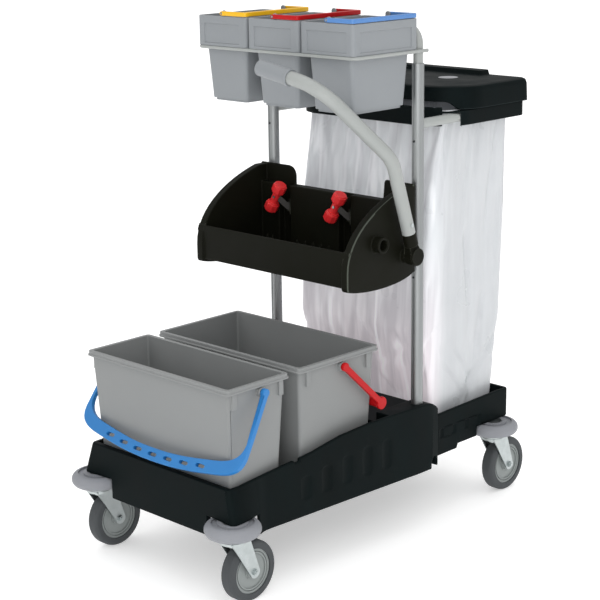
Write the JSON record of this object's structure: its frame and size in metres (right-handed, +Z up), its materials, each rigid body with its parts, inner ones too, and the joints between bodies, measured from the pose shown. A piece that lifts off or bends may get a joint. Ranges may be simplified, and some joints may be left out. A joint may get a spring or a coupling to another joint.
{
  "type": "janitor cart",
  "caption": "Janitor cart with two wash buckets, a tool tray, small bins, a folding push handle and a lidded waste bag on swivel castors.",
  "frame": {"origin": "on the floor, in the middle of the cart's footprint", "axes": "+Z up, +Y towards the bag end, +X to the side that carries the handle"},
  "size_m": [0.5248, 0.9735, 1.1127],
  "materials": {
    "black_plastic": "satin black moulded plastic",
    "tray_plastic": "matte olive-black moulded plastic",
    "bucket_plastic": "satin grey moulded plastic",
    "bin_plastic": "satin light grey moulded plastic",
    "hub_plastic": "satin grey moulded plastic",
    "disc_plastic": "matte grey plastic",
    "zinc_steel": "bright zinc plate",
    "post_aluminium": "satin anodised",
    "tube_paint": "light grey powder coat",
    "buffer_rubber": "matte grey rubber",
    "tyre_rubber": "dark grey solid tyre",
    "strap_rubber": "matte dark rubber",
    "blue_plastic": "glossy blue plastic",
    "light_blue_plastic": "glossy light blue plastic",
    "red_plastic": "glossy red plastic",
    "yellow_plastic": "glossy yellow plastic",
    "bag_film": "thin white plastic film"
  },
  "bodies": {
    "frame": {"base_moulding": "black_plastic", "bag_platform": "black_plastic", "castor_heads": "zinc_steel", "castor_buffers": "buffer_rubber", "left_post": "post_aluminium", "right_post": "post_aluminium", "top_frame": "tube_paint", "bin_carrier": "tube_paint", "post_screws": "zinc_steel", "tool_tray": "tray_plastic", "handle_bolt": "zinc_steel", "bag_arms": "tube_paint", "bag_ring": "black_plastic", "waste_bag": "bag_film", "lid_pins": "zinc_steel"},
    "lid": {"lid": "black_plastic", "lid_disc": "disc_plastic"},
    "handle": {"handle_knuckle": "tray_plastic", "handle_cap": "tray_plastic", "handle_tube": "tube_paint", "handle_grip": "bin_plastic", "handle_screw": "zinc_steel"},
    "front_bucket": {"front_bucket": "bucket_plastic"},
    "front_bail": {"front_bail": "blue_plastic"},
    "rear_bucket": {"rear_bucket": "bucket_plastic"},
    "rear_bail": {"rear_bail": "red_plastic"},
    "left_bin": {"left_bin": "bin_plastic"},
    "middle_bin": {"middle_bin": "bin_plastic"},
    "right_bin": {"right_bin": "bin_plastic"},
    "left_bin_bail": {"left_bin_bail": "yellow_plastic"},
    "middle_bin_bail": {"middle_bin_bail": "red_plastic"},
    "right_bin_bail": {"right_bin_bail": "light_blue_plastic"},
    "left_strap": {"left_strap": "strap_rubber", "left_toggle": "red_plastic", "left_rivet": "zinc_steel"},
    "right_strap": {"right_strap": "strap_rubber", "right_toggle": "red_plastic", "right_rivet": "zinc_steel"},
    "front_left_castor": {"front_left_fork": "zinc_steel", "front_left_axle": "zinc_steel", "front_left_sleeve": "zinc_steel"},
    "front_left_wheel": {"front_left_hub": "hub_plastic", "front_left_tyre": "tyre_rubber"},
    "front_right_castor": {"front_right_fork": "zinc_steel", "front_right_axle": "zinc_steel", "front_right_sleeve": "zinc_steel"},
    "front_right_wheel": {"front_right_hub": "hub_plastic", "front_right_tyre": "tyre_rubber"},
    "rear_left_castor": {"rear_left_fork": "zinc_steel", "rear_left_axle": "zinc_steel", "rear_left_sleeve": "zinc_steel"},
    "rear_left_wheel": {"rear_left_hub": "hub_plastic", "rear_left_tyre": "tyre_rubber"},
    "rear_right_castor": {"rear_right_fork": "zinc_steel", "rear_right_axle": "zinc_steel", "rear_right_sleeve": "zinc_steel"},
    "rear_right_wheel": {"rear_right_hub": "hub_plastic", "rear_right_tyre": "tyre_rubber"}
  },
  "joints": [
    {"name": "lid_hinge", "type": "hinge", "parent": "frame", "child": "lid", "pos_m": [0, 0.196, 0.91], "axis": [1, 0, 0], "range_deg": [0, 95]},
    {"name": "handle_fold", "type": "hinge", "parent": "frame", "child": "handle", "pos_m": [0.247, 0.058, 0.621], "axis": [1, 0, 0], "range_deg": [0, 27]},
    {"name": "front_bucket_lift", "type": "slide", "parent": "frame", "child": "front_bucket", "axis": [0, 0, 1], "range_m": [0, 0.175]},
    {"name": "front_bail_swing", "type": "hinge", "parent": "front_bucket", "child": "front_bail", "pos_m": [0, -0.34925, 0.4186], "axis": [-1, 0, 0], "range_deg": [0, 159]},
    {"name": "rear_bucket_lift", "type": "slide", "parent": "frame", "child": "rear_bucket", "axis": [0, 0, 1], "range_m": [0, 0.092]},
    {"name": "rear_bail_swing", "type": "hinge", "parent": "rear_bucket", "child": "rear_bail", "pos_m": [0, -0.1214, 0.4186], "axis": [1, 0, 0], "range_deg": [0, 55]},
    {"name": "left_bin_lift", "type": "slide", "parent": "frame", "child": "left_bin", "axis": [0, 0, 1], "range_m": [0, 0.15]},
    {"name": "left_bin_bail_swing", "type": "hinge", "parent": "left_bin", "child": "left_bin_bail", "pos_m": [-0.1505, 0.0005, 1.1067], "axis": [0, -1, 0], "range_deg": [0, 180]},
    {"name": "middle_bin_lift", "type": "slide", "parent": "frame", "child": "middle_bin", "axis": [0, 0, 1], "range_m": [0, 0.15]},
    {"name": "middle_bin_bail_swing", "type": "hinge", "parent": "middle_bin", "child": "middle_bin_bail", "pos_m": [0, 0.0005, 1.1067], "axis": [0, -1, 0], "range_deg": [0, 180]},
    {"name": "right_bin_lift", "type": "slide", "parent": "frame", "child": "right_bin", "axis": [0, 0, 1], "range_m": [0, 0.15]},
    {"name": "right_bin_bail_swing", "type": "hinge", "parent": "right_bin", "child": "right_bin_bail", "pos_m": [0.1505, 0.0005, 1.1067], "axis": [0, -1, 0], "range_deg": [0, 180]},
    {"name": "left_strap_swing", "type": "hinge", "parent": "frame", "child": "left_strap", "pos_m": [-0.121, 0.072, 0.678], "axis": [0, 0, 1], "range_deg": [0, 45]},
    {"name": "right_strap_swing", "type": "hinge", "parent": "frame", "child": "right_strap", "pos_m": [0.059, 0.072, 0.678], "axis": [0, 0, 1], "range_deg": [0, 45]},
    {"name": "front_left_swivel", "type": "hinge", "parent": "frame", "child": "front_left_castor", "pos_m": [-0.206, -0.4303, 0.137], "axis": [0, 0, 1], "continuous": true},
    {"name": "front_left_spin", "type": "hinge", "parent": "front_left_castor", "child": "front_left_wheel", "pos_m": [-0.206, -0.3923, 0.0625], "axis": [1, 0, 0], "continuous": true},
    {"name": "front_right_swivel", "type": "hinge", "parent": "frame", "child": "front_right_castor", "pos_m": [0.206, -0.4303, 0.137], "axis": [0, 0, 1], "continuous": true},
    {"name": "front_right_spin", "type": "hinge", "parent": "front_right_castor", "child": "front_right_wheel", "pos_m": [0.206, -0.3923, 0.0625], "axis": [1, 0, 0], "continuous": true},
    {"name": "rear_left_swivel", "type": "hinge", "parent": "frame", "child": "rear_left_castor", "pos_m": [-0.206, 0.3863, 0.137], "axis": [0, 0, 1], "continuous": true},
    {"name": "rear_left_spin", "type": "hinge", "parent": "rear_left_castor", "child": "rear_left_wheel", "pos_m": [-0.206, 0.4243, 0.0625], "axis": [1, 0, 0], "continuous": true},
    {"name": "rear_right_swivel", "type": "hinge", "parent": "frame", "child": "rear_right_castor", "pos_m": [0.206, 0.3863, 0.137], "axis": [0, 0, 1], "continuous": true},
    {"name": "rear_right_spin", "type": "hinge", "parent": "rear_right_castor", "child": "rear_right_wheel", "pos_m": [0.206, 0.4243, 0.0625], "axis": [1, 0, 0], "continuous": true}
  ]
}
